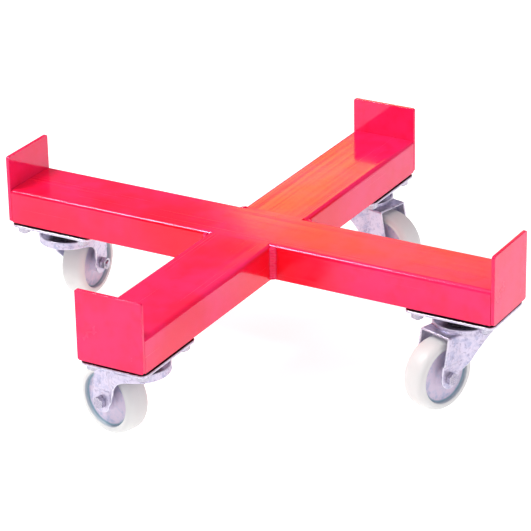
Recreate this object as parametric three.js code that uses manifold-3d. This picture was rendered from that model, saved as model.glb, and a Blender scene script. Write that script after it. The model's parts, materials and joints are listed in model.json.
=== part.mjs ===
// Drum dolly: a steel cross of pressed channels with an upright stop plate at each arm end,
// carried on four swivel casters. Millimetres, +Z up, floor at z = 0, origin under the centre.
import * as THREE from "three";
import { mergeVertices } from "three/addons/utils/BufferGeometryUtils.js";
import Module from "manifold-3d";

const wasm = await Module();
wasm.setup();

// ---------------------------------------------------------------- driving dimensions

// Cross
const SEAT_LENGTH = 604; // clear length between facing stop plates
const ARM_WIDTH = 80;
const ARM_DEPTH = 40;
const ARM_SHEET = 3;
const ARM_BEND_RADIUS = 4; // outside of the bend
const STOP_HEIGHT = 80; // from the arm's lower edge to the top of the stop plate
const STOP_THICKNESS = 4;
const STOP_CORNER = 3;

// Wheel and axle
const WHEEL_DIAMETER = 80;
const WHEEL_WIDTH = 28;
const WHEEL_SHOULDER = 5;
const WHEEL_RIM_DEPTH = 9; // radial depth of the tyre ring outside the side recess
const WHEEL_RECESS = 4;
const HUB_RADIUS = 11;
const HUB_STANDOUT = 2.5; // hub face beyond the tread's edge
const HUB_SIDE_CLEARANCE = 0.5;
const AXLE_RADIUS = 4;
const AXLE_HEX_FLATS = 13;
const AXLE_SLEEVE_WALL = 1.7;

// Fork
const TRAIL = 39.5; // swivel axis to axle
const FORK_SHEET = 2.5;
const FORK_HEAD_RADIUS = 34;
const FORK_CUP_HEIGHT = 4; // rim above the crown
const CROWN_WHEEL_CLEARANCE = 5.5;
const CROWN_OVERHANG = 4; // crown's edge past the axle line
const SKIRT_DEPTH = 5; // from the crown's top down to the skirt's lower edge
const SKIRT_RUN = 20; // level stretch of the skirt's edge ends this far ahead of the swivel axis
const LEG_END_RADIUS = 12.5;
const LEG_NECK = 17; // leg's leading edge ahead of the axle line
const LEG_PANEL_STEP = 2; // raised panel over the axle boss
const LEG_PANEL_START = 13.5; // panel's leading edge ahead of the axle line
const LEG_PANEL_RISE = 16.5; // panel's lower edge above the axle

// Swivel head
const RACE_HEIGHT = 3.5; // crown's top to the dish's underside
const DISH_DEPTH = 11.5;
const DISH_EDGE_MARGIN = 9; // plate's side edge to the dish's mouth
const DISH_SLOPE_RUN = 8;
const RACE_EDGE_MARGIN = 4.5; // middle of the balls to the edge of the dish's floor
const KING_PIN_RADIUS = 6;
const KING_PIN_HEAD_RADIUS = 10;
const KING_PIN_HEAD_HEIGHT = 4;

// Caster fixing
const PLATE_LENGTH = 105;
const PLATE_THICKNESS = 3;
const PLATE_CORNER = 8;
const HOLE_END_DISTANCE = 12.5;
const HOLE_STOP_DISTANCE = 10; // outer bolts to the face of the stop plate
const PAD_THICKNESS = 4;
const PACKING_HEIGHT = 3; // gap between the arm's lower edge and the caster plate
const PACKING_RADIUS = 5.2;

// M8 fasteners
const BOLT_RADIUS = 4;
const HEX_FLATS = 13;
const HEAD_HEIGHT = 5.3;
const NUT_HEIGHT = 6.5;
const THREAD_PAST_NUT = 2;
const SPANNER_CLEARANCE = 0.5;

const FIT_GAP = 0.3; // between pieces that touch
const WORKING_GAP = 0.3; // radial, round shafts and bolts

// Rest direction of each wheel from its swivel axis, in degrees about +Z from +X
const CASTERS = {
  right: { armAngle: 0, swivelAngle: 251.5 },
  back: { armAngle: 90, swivelAngle: -13 },
  left: { armAngle: 180, swivelAngle: 93 },
  front: { armAngle: 270, swivelAngle: 166 },
};

// ---------------------------------------------------------------- derived sizes

const STOP_FACE = SEAT_LENGTH / 2;
const HOLE_X = PLATE_LENGTH / 2 - HOLE_END_DISTANCE;
const PIVOT_OFFSET = STOP_FACE - HOLE_STOP_DISTANCE - HOLE_X;

const WHEEL_RADIUS = WHEEL_DIAMETER / 2;
const AXLE_Z = WHEEL_RADIUS;
const CROWN_BOTTOM = WHEEL_DIAMETER + CROWN_WHEEL_CLEARANCE;
const CROWN_TOP = CROWN_BOTTOM + FORK_SHEET;
const DISH_BOTTOM = CROWN_TOP + RACE_HEIGHT;
const PLATE_BOTTOM = DISH_BOTTOM + DISH_DEPTH;
const PLATE_TOP = PLATE_BOTTOM + PLATE_THICKNESS;
const ARM_BOTTOM = PLATE_TOP + PACKING_HEIGHT;
const ARM_TOP = ARM_BOTTOM + ARM_DEPTH;
const PAD_TOP = ARM_BOTTOM + PAD_THICKNESS;

const HUB_LENGTH = WHEEL_WIDTH + 2 * HUB_STANDOUT;
const FORK_GAP = HUB_LENGTH + 2 * HUB_SIDE_CLEARANCE;
const LEG_OUTSIDE = FORK_GAP / 2 + FORK_SHEET;
const AXLE_HOLE = AXLE_RADIUS + WORKING_GAP;
const SLEEVE_RADIUS = AXLE_HOLE + AXLE_SLEEVE_WALL;
const AXLE_HEX_RADIUS = AXLE_HEX_FLATS / Math.sqrt(3);

const DISH_MOUTH = ARM_WIDTH / 2 - DISH_EDGE_MARGIN;
const DISH_FLOOR = DISH_MOUTH - DISH_SLOPE_RUN;
const RACE_RADIUS = DISH_FLOOR - RACE_EDGE_MARGIN;

const HOLE_Y = ARM_WIDTH / 2 - ARM_SHEET - HEX_FLATS / 2 - SPANNER_CLEARANCE;
const HOLE_RADIUS = BOLT_RADIUS + WORKING_GAP;

// Facets of round work
const SMALL_SIDES = 8; // bolts and their holes
const ROUND_SIDES = 16; // pins, races and sleeves
const DISH_SIDES = 20; // dish, cup and fork head
const WHEEL_SIDES = 28;
const BEND_STEPS = 2; // half the facets of a bend or corner
const HEAD_STEPS = 9; // half the facets round the fork's head
const SIDE_STEPS = 4; // half the facets of the fork's side curves

// ---------------------------------------------------------------- materials

const PAINT = { color: 0xdb1232, roughness: 0.28, metalness: 0.0 };
const ZINC = { color: 0xc9cbd6, roughness: 0.38, metalness: 0.9 };
const NYLON = { color: 0xe9e8e2, roughness: 0.5, metalness: 0.0 };
const STEEL = { color: 0x9a9ca3, roughness: 0.4, metalness: 1.0 };

// ---------------------------------------------------------------- solid helpers

function solid(geometry) {
  const bare = geometry.clone();
  bare.deleteAttribute("normal");
  bare.deleteAttribute("uv");
  const merged = mergeVertices(bare, 1e-4);
  return new wasm.Manifold(
    new wasm.Mesh({
      numProp: 3,
      vertProperties: merged.attributes.position.array,
      triVerts: new Uint32Array(merged.index.array),
    }),
  );
}

function geometryOf(manifold) {
  const mesh = manifold.getMesh();
  const geometry = new THREE.BufferGeometry();
  geometry.setAttribute("position", new THREE.BufferAttribute(mesh.vertProperties, 3));
  geometry.setIndex(new THREE.BufferAttribute(mesh.triVerts, 1));
  geometry.computeVertexNormals();
  return geometry;
}

function box(x0, x1, y0, y1, z0, z1) {
  const geometry = new THREE.BoxGeometry(x1 - x0, y1 - y0, z1 - z0);
  return solid(geometry.translate((x0 + x1) / 2, (y0 + y1) / 2, (z0 + z1) / 2));
}

// Upright cylinder or prism; a six-sided one has two flats facing +-Y.
function column(radius, z0, z1, sides = ROUND_SIDES, x = 0, y = 0) {
  const geometry = new THREE.CylinderGeometry(radius, radius, z1 - z0, sides);
  geometry.rotateX(Math.PI / 2);
  if (sides === 6) geometry.rotateZ(Math.PI / 6);
  return solid(geometry.translate(x, y, (z0 + z1) / 2));
}

// Piece turned about +Z from [radius, z] points, anticlockwise, from axis to axis or closed.
function turned(points, sides = ROUND_SIDES) {
  const profile = points.map(([r, z]) => new THREE.Vector2(r, z));
  if (points[0][0] > 0) profile.push(profile[0].clone());
  return solid(new THREE.LatheGeometry(profile, sides).rotateX(Math.PI / 2));
}

function roundedRectangle(width, height, radius) {
  const shape = new THREE.Shape();
  const x = width / 2 - radius;
  const y = height / 2 - radius;
  shape.absarc(x, -y, radius, -Math.PI / 2, 0);
  shape.absarc(x, y, radius, 0, Math.PI / 2);
  shape.absarc(-x, y, radius, Math.PI / 2, Math.PI);
  shape.absarc(-x, -y, radius, Math.PI, Math.PI * 1.5);
  return shape;
}

function extruded(shape, depth, curveSegments = BEND_STEPS) {
  return new THREE.ExtrudeGeometry(shape, { depth, bevelEnabled: false, curveSegments });
}

// ---------------------------------------------------------------- cross

// Inverted channel section: x across the arm, y up.
function channelSection(grow = 0) {
  const half = ARM_WIDTH / 2 + grow;
  const top = ARM_TOP + grow;
  const bottom = ARM_BOTTOM - grow;
  const outer = ARM_BEND_RADIUS + grow;
  const inside = half - ARM_SHEET - grow;
  const inner = Math.max(ARM_BEND_RADIUS - ARM_SHEET, 0.5);
  const web = ARM_TOP - ARM_SHEET;
  const shape = new THREE.Shape();
  shape.moveTo(half, bottom);
  shape.lineTo(half, top - outer);
  shape.absarc(half - outer, top - outer, outer, 0, Math.PI / 2);
  shape.absarc(outer - half, top - outer, outer, Math.PI / 2, Math.PI);
  shape.lineTo(-half, bottom);
  shape.lineTo(-inside, bottom);
  shape.absarc(inner - inside, web - inner, inner, Math.PI, Math.PI / 2, true);
  shape.absarc(inside - inner, web - inner, inner, Math.PI / 2, 0, true);
  shape.lineTo(inside, bottom);
  return shape;
}

// Channel along a level direction, from one distance from the centre to another.
function channelAlong(direction, from, to, grow = 0) {
  const up = new THREE.Vector3(0, 0, 1);
  const across = new THREE.Vector3().crossVectors(up, direction);
  const geometry = extruded(channelSection(grow), to - from);
  geometry.translate(0, 0, from);
  geometry.applyMatrix4(new THREE.Matrix4().makeBasis(across, up, direction));
  return solid(geometry);
}

function longChannel() {
  const end = STOP_FACE - FIT_GAP;
  return channelAlong(new THREE.Vector3(1, 0, 0), -end, end);
}

// The short channel's web is coped over the long channel's bend, where it is welded.
function halfChannel(side) {
  const direction = new THREE.Vector3(0, side, 0);
  const cope = ARM_WIDTH / 2 - ARM_BEND_RADIUS / 2;
  const blank = channelAlong(direction, cope, STOP_FACE - FIT_GAP);
  const clearance = channelAlong(new THREE.Vector3(1, 0, 0), -ARM_WIDTH, ARM_WIDTH, FIT_GAP);
  return blank.subtract(clearance);
}

function stopPlate() {
  const geometry = extruded(roundedRectangle(ARM_WIDTH, STOP_HEIGHT, STOP_CORNER), STOP_THICKNESS);
  geometry.rotateX(Math.PI / 2).rotateZ(Math.PI / 2);
  return solid(geometry.translate(STOP_FACE, 0, ARM_BOTTOM + STOP_HEIGHT / 2));
}

// ---------------------------------------------------------------- caster fixing

function boltPlaces() {
  const places = [];
  for (const x of [-HOLE_X, HOLE_X]) {
    for (const y of [-HOLE_Y, HOLE_Y]) places.push([x, y]);
  }
  return places;
}

function drilled(plate, z0, z1) {
  return boltPlaces().reduce(
    (made, [x, y]) => made.subtract(column(HOLE_RADIUS, z0 - 1, z1 + 1, SMALL_SIDES, x, y)),
    plate,
  );
}

function casterPad() {
  const half = ARM_WIDTH / 2 - ARM_SHEET - FIT_GAP;
  const end = STOP_FACE - PIVOT_OFFSET - FIT_GAP;
  const blank = box(-PLATE_LENGTH / 2, end, -half, half, ARM_BOTTOM, PAD_TOP);
  return drilled(blank, ARM_BOTTOM, PAD_TOP);
}

// Bolt through pad and caster plate, with the packing tube between them and the nut below.
function plateBolt() {
  const hexRadius = HEX_FLATS / Math.sqrt(3);
  const nutTop = PLATE_BOTTOM - FIT_GAP;
  const headBottom = PAD_TOP + FIT_GAP;
  const tip = nutTop - NUT_HEIGHT - THREAD_PAST_NUT;
  return column(BOLT_RADIUS, tip, headBottom + 1, SMALL_SIDES)
    .add(column(hexRadius, nutTop - NUT_HEIGHT, nutTop, 6))
    .add(column(PACKING_RADIUS, PLATE_TOP + FIT_GAP, ARM_BOTTOM - FIT_GAP, SMALL_SIDES))
    .add(column(hexRadius, headBottom, headBottom + HEAD_HEIGHT, 6));
}

// ---------------------------------------------------------------- swivel head

function topPlate() {
  const collar = DISH_MOUTH + PLATE_THICKNESS;
  const wallRun = (PLATE_THICKNESS * Math.hypot(DISH_SLOPE_RUN, DISH_DEPTH)) / DISH_DEPTH;
  const slopeAt = (z) => DISH_FLOOR + (DISH_SLOPE_RUN * (z - DISH_BOTTOM)) / DISH_DEPTH;
  const dishFloorTop = DISH_BOTTOM + PLATE_THICKNESS;
  const bore = KING_PIN_RADIUS + WORKING_GAP;
  const dish = turned(
    [
      [bore, DISH_BOTTOM],
      [DISH_FLOOR, DISH_BOTTOM],
      [DISH_MOUTH, PLATE_BOTTOM],
      [collar, PLATE_BOTTOM],
      [collar, PLATE_TOP],
      [slopeAt(PLATE_TOP) - wallRun, PLATE_TOP],
      [slopeAt(dishFloorTop) - wallRun, dishFloorTop],
      [bore, dishFloorTop],
    ],
    DISH_SIDES,
  );
  const outline = roundedRectangle(PLATE_LENGTH, ARM_WIDTH, PLATE_CORNER);
  const blank = solid(extruded(outline, PLATE_THICKNESS).translate(0, 0, PLATE_BOTTOM));
  const opened = blank.subtract(column(collar - 0.5, PLATE_BOTTOM - 1, PLATE_TOP + 1, DISH_SIDES));
  return drilled(opened.add(dish), PLATE_BOTTOM, PLATE_TOP);
}

function kingPin() {
  const headBottom = DISH_BOTTOM + PLATE_THICKNESS + FIT_GAP;
  const tailTop = CROWN_BOTTOM - FIT_GAP;
  return turned([
    [0, tailTop - KING_PIN_HEAD_HEIGHT],
    [KING_PIN_HEAD_RADIUS - 1, tailTop - KING_PIN_HEAD_HEIGHT],
    [KING_PIN_HEAD_RADIUS - 1, tailTop],
    [KING_PIN_RADIUS, tailTop],
    [KING_PIN_RADIUS, headBottom],
    [KING_PIN_HEAD_RADIUS, headBottom],
    [KING_PIN_HEAD_RADIUS, headBottom + KING_PIN_HEAD_HEIGHT - 1],
    [KING_PIN_HEAD_RADIUS - 2, headBottom + KING_PIN_HEAD_HEIGHT],
    [0, headBottom + KING_PIN_HEAD_HEIGHT],
  ]);
}

// The ring of balls between dish and crown, as the band that they run in.
function ballRace() {
  const radius = RACE_HEIGHT / 2 - FIT_GAP;
  const middle = CROWN_TOP + RACE_HEIGHT / 2;
  const points = [];
  for (let i = 0; i < 8; i += 1) {
    const angle = (Math.PI * (i + 0.5)) / 4;
    points.push([RACE_RADIUS + radius * Math.cos(angle), middle + radius * Math.sin(angle)]);
  }
  return turned(points);
}

// ---------------------------------------------------------------- fork

// Plan of the fork: a round head that runs into two straight legs, x towards the wheel.
function forkPlan(headRadius, halfWidth, reach) {
  const start = Math.asin(halfWidth / headRadius);
  const shape = new THREE.Shape();
  shape.absarc(0, 0, headRadius, start, 2 * Math.PI - start);
  shape.lineTo(reach, -halfWidth);
  shape.lineTo(reach, halfWidth);
  return shape;
}

// Side view of the fork: x towards the wheel, y up.
function forkSide() {
  const trailX = TRAIL + CROWN_OVERHANG;
  const skirt = CROWN_TOP - SKIRT_DEPTH;
  const neck = TRAIL - LEG_NECK;
  const lead = -FORK_HEAD_RADIUS - 1;
  const shape = new THREE.Shape();
  shape.moveTo(lead, CROWN_TOP);
  shape.lineTo(lead, skirt);
  shape.lineTo(-SKIRT_RUN, skirt);
  shape.bezierCurveTo(0, skirt, neck / 2, (skirt + AXLE_Z) / 2, neck, AXLE_Z + LEG_END_RADIUS / 2);
  shape.absarc(TRAIL, AXLE_Z, LEG_END_RADIUS, Math.PI * 1.22, Math.PI * 2.05);
  shape.lineTo(trailX, CROWN_TOP);
  return shape;
}

function fork() {
  const far = TRAIL + WHEEL_RADIUS;
  const low = AXLE_Z - 2 * LEG_END_RADIUS;
  const tall = CROWN_TOP - low;
  const plan = forkPlan(FORK_HEAD_RADIUS, LEG_OUTSIDE, far);
  const hollowPlan = forkPlan(FORK_HEAD_RADIUS - FORK_SHEET, FORK_GAP / 2, far + 1);
  const panelX = TRAIL - LEG_PANEL_START;
  const panelZ = AXLE_Z + LEG_PANEL_RISE;
  const panelY = LEG_OUTSIDE + LEG_PANEL_STEP;
  const outside = solid(extruded(plan, tall, HEAD_STEPS).translate(0, 0, low));
  const inside = solid(extruded(hollowPlan, tall, HEAD_STEPS).translate(0, 0, low - FORK_SHEET));
  const panel = box(panelX, far, -panelY, panelY, panelZ, CROWN_TOP);
  const panelInside = box(
    panelX + FORK_SHEET,
    far + 1,
    FORK_SHEET - panelY,
    panelY - FORK_SHEET,
    panelZ + FORK_SHEET,
    CROWN_BOTTOM,
  );
  const sideDepth = 4 * FORK_HEAD_RADIUS;
  const side = extruded(forkSide(), sideDepth, SIDE_STEPS);
  side.translate(0, 0, -sideDepth / 2).rotateX(Math.PI / 2);
  const cup = turned(
    [
      [FORK_HEAD_RADIUS - FORK_SHEET, CROWN_BOTTOM],
      [FORK_HEAD_RADIUS, CROWN_BOTTOM],
      [FORK_HEAD_RADIUS, CROWN_TOP + FORK_CUP_HEIGHT],
      [FORK_HEAD_RADIUS - FORK_SHEET, CROWN_TOP + FORK_CUP_HEIGHT],
    ],
    DISH_SIDES,
  );
  const axleHole = new THREE.CylinderGeometry(AXLE_HOLE, AXLE_HOLE, sideDepth, SMALL_SIDES);
  return outside
    .add(panel)
    .subtract(inside)
    .subtract(panelInside)
    .intersect(solid(side))
    .add(cup)
    .subtract(column(KING_PIN_RADIUS + WORKING_GAP, CROWN_BOTTOM - 1, CROWN_TOP + 1))
    .subtract(solid(axleHole.translate(TRAIL, 0, AXLE_Z)));
}

// ---------------------------------------------------------------- wheel and axle

// Pieces on the axle are turned about +Z through the origin and laid down by their group.
function wheel() {
  const half = WHEEL_WIDTH / 2;
  const hub = HUB_LENGTH / 2;
  const bore = SLEEVE_RADIUS + WORKING_GAP;
  const rimInside = WHEEL_RADIUS - WHEEL_RIM_DEPTH;
  const floor = half - WHEEL_RECESS;
  const shoulder = WHEEL_SHOULDER;
  const side = [
    [bore, hub],
    [HUB_RADIUS, hub],
    [HUB_RADIUS + 1, floor],
    [rimInside - 1, floor],
    [rimInside, half],
    [WHEEL_RADIUS - shoulder, half],
    [WHEEL_RADIUS - shoulder * 0.3, half - shoulder * 0.3],
    [WHEEL_RADIUS, half - shoulder],
  ];
  const otherSide = side.map(([r, z]) => [r, -z]);
  return turned([...otherSide, ...side.reverse()], WHEEL_SIDES);
}

function axleSleeve() {
  const half = FORK_GAP / 2 - FIT_GAP;
  return turned([
    [AXLE_HOLE, -half],
    [SLEEVE_RADIUS, -half],
    [SLEEVE_RADIUS, half],
    [AXLE_HOLE, half],
  ]);
}

// Head on the +Z side of the fork, thread standing out past the nut on the other side.
function axleBolt() {
  const seat = LEG_OUTSIDE + FIT_GAP;
  const tip = seat + NUT_HEIGHT + THREAD_PAST_NUT;
  const head = column(AXLE_HEX_RADIUS, seat, seat + HEAD_HEIGHT, 6);
  return column(AXLE_RADIUS, -tip, seat + 1, SMALL_SIDES).add(head);
}

function axleNut() {
  const seat = LEG_OUTSIDE + FIT_GAP;
  const nut = column(AXLE_HEX_RADIUS, -seat - NUT_HEIGHT, -seat, 6);
  return nut.subtract(column(AXLE_HOLE, -seat - NUT_HEIGHT - 1, 1 - seat, SMALL_SIDES));
}

// ---------------------------------------------------------------- assembly

function named(name, made, look) {
  const mesh = new THREE.Mesh(geometryOf(made), new THREE.MeshStandardMaterial(look));
  mesh.name = name;
  return mesh;
}

function crossGroup() {
  const cross = new THREE.Group();
  cross.add(named("long_channel", longChannel(), PAINT));
  cross.add(named("front_channel", halfChannel(-1), PAINT));
  cross.add(named("back_channel", halfChannel(1), PAINT));
  return cross;
}

function armEnd(place, armAngle) {
  const arm = new THREE.Group();
  arm.rotation.z = THREE.MathUtils.degToRad(armAngle);
  arm.add(named(`end_plate_${place}`, stopPlate(), PAINT));
  const fixing = new THREE.Group();
  fixing.position.x = PIVOT_OFFSET;
  fixing.add(named(`caster_pad_${place}`, casterPad(), PAINT));
  fixing.add(named(`top_plate_${place}`, topPlate(), ZINC));
  fixing.add(named(`king_pin_${place}`, kingPin(), STEEL));
  fixing.add(named(`ball_race_${place}`, ballRace(), STEEL));
  boltPlaces().forEach(([x, y], index) => {
    const bolt = named(`plate_bolt_${place}_${index + 1}`, plateBolt(), ZINC);
    bolt.position.set(x, y, 0);
    fixing.add(bolt);
  });
  arm.add(fixing);
  return arm;
}

function swivelGroup(place, armAngle, swivelAngle) {
  const arm = THREE.MathUtils.degToRad(armAngle);
  const swivel = new THREE.Group();
  swivel.position.set(PIVOT_OFFSET * Math.cos(arm), PIVOT_OFFSET * Math.sin(arm), 0);
  swivel.rotation.z = THREE.MathUtils.degToRad(swivelAngle);
  swivel.add(named(`fork_${place}`, fork(), ZINC));
  const axle = new THREE.Group();
  axle.position.set(TRAIL, 0, AXLE_Z);
  axle.rotation.x = -Math.PI / 2;
  axle.add(named(`wheel_${place}`, wheel(), NYLON));
  axle.add(named(`axle_sleeve_${place}`, axleSleeve(), STEEL));
  axle.add(named(`axle_bolt_${place}`, axleBolt(), ZINC));
  axle.add(named(`axle_nut_${place}`, axleNut(), ZINC));
  swivel.add(axle);
  return swivel;
}

const group = new THREE.Group();
group.add(crossGroup());
for (const [place, { armAngle, swivelAngle }] of Object.entries(CASTERS)) {
  group.add(armEnd(place, armAngle));
  group.add(swivelGroup(place, armAngle, swivelAngle));
}

export default group;
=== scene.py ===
"""Drum dolly: finished steel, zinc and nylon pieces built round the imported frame."""

import json
import math

import bmesh
import bpy
import numpy as np
from bpy.props import FloatProperty, FloatVectorProperty, IntProperty, PointerProperty
from mathutils import Matrix, Vector, noise


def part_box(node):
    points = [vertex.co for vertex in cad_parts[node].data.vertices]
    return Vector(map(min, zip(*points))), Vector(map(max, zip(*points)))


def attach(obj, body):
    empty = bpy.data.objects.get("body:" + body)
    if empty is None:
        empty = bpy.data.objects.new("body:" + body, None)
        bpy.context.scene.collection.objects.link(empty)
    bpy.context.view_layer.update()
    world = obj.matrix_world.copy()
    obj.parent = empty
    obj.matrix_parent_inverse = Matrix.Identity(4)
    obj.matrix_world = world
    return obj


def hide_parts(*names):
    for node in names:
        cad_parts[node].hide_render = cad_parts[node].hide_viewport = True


bl_info = {
    "name": "Drum Dolly",
    "version": (1, 0, 0),
    "blender": (4, 5, 0),
    "location": "View3D > Sidebar > Drum Dolly",
    "description": "Builds a cross-shaped drum dolly with stop plates and swivel casters",
    "category": "Object",
}

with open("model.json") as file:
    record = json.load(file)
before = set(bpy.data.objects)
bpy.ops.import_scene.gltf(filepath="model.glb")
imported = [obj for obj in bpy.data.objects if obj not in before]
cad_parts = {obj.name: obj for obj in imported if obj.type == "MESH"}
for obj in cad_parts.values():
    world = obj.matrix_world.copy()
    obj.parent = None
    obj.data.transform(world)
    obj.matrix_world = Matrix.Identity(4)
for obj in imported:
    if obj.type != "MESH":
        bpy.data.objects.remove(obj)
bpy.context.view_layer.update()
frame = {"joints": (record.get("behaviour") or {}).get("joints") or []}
JOINTS = {joint["name"]: joint for joint in frame["joints"]}
PLACES = ("right", "back", "left", "front")
MM = 0.001


# ---------------------------------------------------------------- places and sizes of the frame


def pivot_of(place):
    return Vector(JOINTS[f"{place}_swivel"]["pos_m"])


def arm_frame(place):
    """Local x out along the arm, origin on the floor under the centre of the cross."""
    pivot = pivot_of(place)
    return Matrix.Rotation(math.atan2(pivot.y, pivot.x), 4, "Z")


def plate_frame(place):
    """As the arm's frame, with its origin on the floor under the swivel axis."""
    pivot = pivot_of(place)
    return Matrix.Translation((pivot.x, pivot.y, 0)) @ arm_frame(place)


def swivel_frame(place):
    """Local x from the swivel axis towards the wheel, origin on the floor."""
    pivot = pivot_of(place)
    axle = Vector(JOINTS[f"{place}_wheel_spin"]["pos_m"])
    angle = math.atan2(axle.y - pivot.y, axle.x - pivot.x)
    return Matrix.Translation((pivot.x, pivot.y, 0)) @ Matrix.Rotation(angle, 4, "Z")


def axle_frame(place):
    """Local z along the axle towards the bolt's head, origin at the wheel's centre."""
    swivel = swivel_frame(place)
    height = JOINTS[f"{place}_wheel_spin"]["pos_m"][2]
    laid_down = Matrix.Rotation(-math.pi / 2, 4, "X")
    return swivel @ Matrix.Translation((TRAIL, 0, height)) @ laid_down


ARM_LOW, ARM_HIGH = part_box("long_channel")
STOP_LOW, STOP_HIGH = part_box("end_plate_right")
PAD_LOW, PAD_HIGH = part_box("caster_pad_right")
PLATE_LOW, PLATE_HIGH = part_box("top_plate_right")
BOLT_LOW, BOLT_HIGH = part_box("plate_bolt_right_4")
FORK_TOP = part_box("fork_right")[1].z
PIVOT = pivot_of("right").x
TRAIL = (Vector(JOINTS["right_wheel_spin"]["pos_m"]).xy - pivot_of("right").xy).length
AXLE_HEIGHT = JOINTS["right_wheel_spin"]["pos_m"][2]
BOLT_X = (BOLT_LOW.x + BOLT_HIGH.x) / 2 - PIVOT
BOLT_Y = (BOLT_LOW.y + BOLT_HIGH.y) / 2
FIT_GAP = 0.3 * MM
PIN_BORE = 6.3 * MM
SLEEVE_RADIUS = 6.0 * MM
PAD_WELD_RUNS = ((-44, -16), (14, 42))


# ---------------------------------------------------------------- settings


def length(name, description, default):
    return FloatProperty(
        name=name, description=description, default=default, min=0.0001,
        unit="LENGTH", subtype="DISTANCE",
    )


def colour(name, description, default):
    return FloatVectorProperty(
        name=name, description=description, default=default,
        size=3, min=0.0, max=1.0, subtype="COLOR",
    )


def angle(name, description, degrees):
    return FloatProperty(
        name=name, description=description, default=math.radians(degrees), subtype="ANGLE"
    )


class CrossSettings(bpy.types.PropertyGroup):
    """Sizes and paint of the welded cross."""

    sheet: length("Sheet", "Thickness of the channels' sheet", 3.0 * MM)
    bend: length("Bend", "Outside radius of the channels' bends", 5.0 * MM)
    stop_corner: length("Stop corner", "Radius of the stop plates' corners", 3.0 * MM)
    plate_edge: length("Plate edge", "Rounding of cut plate edges", 0.5 * MM)
    weld_leg: length("Weld leg", "Leg of the weld beads in the cross's corners", 6.4 * MM)
    weld_pitch: length("Weld pitch", "Distance between ripples of a weld bead", 3.0 * MM)
    paint: colour("Paint", "Colour of the gloss paint", (0.97, 0.017, 0.120))
    paint_deep: colour("Deep paint", "Colour of the paint where it lies thick", (0.94, 0.005, 0.040))
    paint_roughness: FloatProperty(
        name="Paint roughness", description="Roughness of the gloss paint", default=0.12, min=0, max=1
    )


class CasterSettings(bpy.types.PropertyGroup):
    """Sizes and finish of the pressed caster plates and forks."""

    plate_corner: length("Plate corner", "Radius of the caster plate's corners", 8.0 * MM)
    plate_sheet: length("Plate sheet", "Thickness of the caster plate", 3.0 * MM)
    dish_mouth: length("Dish mouth", "Radius of the dish where it leaves the plate", 30.5 * MM)
    dish_floor: length("Dish floor", "Radius of the dish's flat floor", 21.5 * MM)
    dish_depth: length("Dish depth", "Depth of the dish below the plate", 11.5 * MM)
    fork_sheet: length("Fork sheet", "Thickness of the fork's sheet", 2.5 * MM)
    head_radius: length("Head radius", "Radius of the fork's round head", 34.0 * MM)
    leg_outside: length("Leg outside", "Half width over the legs at the axle", 19.5 * MM)
    panel_step: length("Panel step", "Step from the leg's boss to its raised panel", 2.0 * MM)
    crown_top: length("Crown height", "Height of the fork's crown above the floor", 88.0 * MM)
    cell: length("Pressing detail", "Mesh size of the pressed pieces", 0.75 * MM)
    zinc: colour("Zinc", "Colour of the bright zinc", (0.64, 0.59, 0.72))
    zinc_blue: colour("Blue zinc", "Colour of the zinc's bluish clouds", (0.36, 0.38, 0.56))


class WheelSettings(bpy.types.PropertyGroup):
    """Sizes and colour of the moulded wheels."""

    width: length("Width", "Width over the tyre ring", 28.0 * MM)
    hub_width: length("Hub width", "Width over the hub", 33.0 * MM)
    hub_radius: length("Hub radius", "Radius of the hub", 11.0 * MM)
    rim_radius: length("Rim radius", "Radius of the side recess", 31.0 * MM)
    recess: length("Recess", "Depth of the side recess", 4.0 * MM)
    bore: length("Bore", "Radius of the hub's bore", 6.3 * MM)
    segments: IntProperty(name="Segments", description="Facets round the wheel", default=144, min=24)
    nylon: colour("Nylon", "Colour of the moulded nylon", (0.73, 0.74, 0.71))
    # Painted light: the colour of the recessed sides carries the lavender tint of the light falling
    # on them.
    nylon_wall: colour("Nylon wall", "Colour where the recess meets the rim", (0.18, 0.33, 0.40))
    # Painted shade: colour of the band along the recess wall.
    nylon_side: colour("Nylon side", "Colour of the wheel's recessed sides", (0.66, 0.57, 0.70))


class FastenerSettings(bpy.types.PropertyGroup):
    """Sizes of the bolts, nuts, pins and balls."""

    thread_radius: length("Thread radius", "Outside radius of the bolts", 4.0 * MM)
    pitch: length("Pitch", "Pitch of the bolts' thread", 1.25 * MM)
    flats: length("Across flats", "Width across the flats of heads and nuts", 13.0 * MM)
    head: length("Head height", "Height of a bolt's head", 5.3 * MM)
    nut: length("Nut height", "Height of a nut", 6.5 * MM)
    past_nut: length("Past the nut", "Thread that stands out past a nut", 2.0 * MM)
    packing_radius: length("Packing radius", "Outside radius of the packing tubes", 5.2 * MM)
    balls: IntProperty(name="Balls", description="Balls in one race", default=26, min=6)


class StageSettings(bpy.types.PropertyGroup):
    """Camera, floor and light."""

    floor_colour: colour("Floor", "Colour of the floor", (0.50, 0.50, 0.51))
    camera_distance: length("Camera distance", "From the camera to the cross", 3.0819)
    camera_turn: angle("Camera turn", "Angle round the dolly", 30.155)
    camera_rise: angle("Camera rise", "Angle above the floor", 24.101)
    camera_roll: angle("Camera roll", "Tilt of the camera", -1.228)


SETTINGS = {
    "dolly_cross": CrossSettings,
    "dolly_caster": CasterSettings,
    "dolly_wheel": WheelSettings,
    "dolly_fastener": FastenerSettings,
    "dolly_stage": StageSettings,
}


# ---------------------------------------------------------------- material nodes


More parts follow.
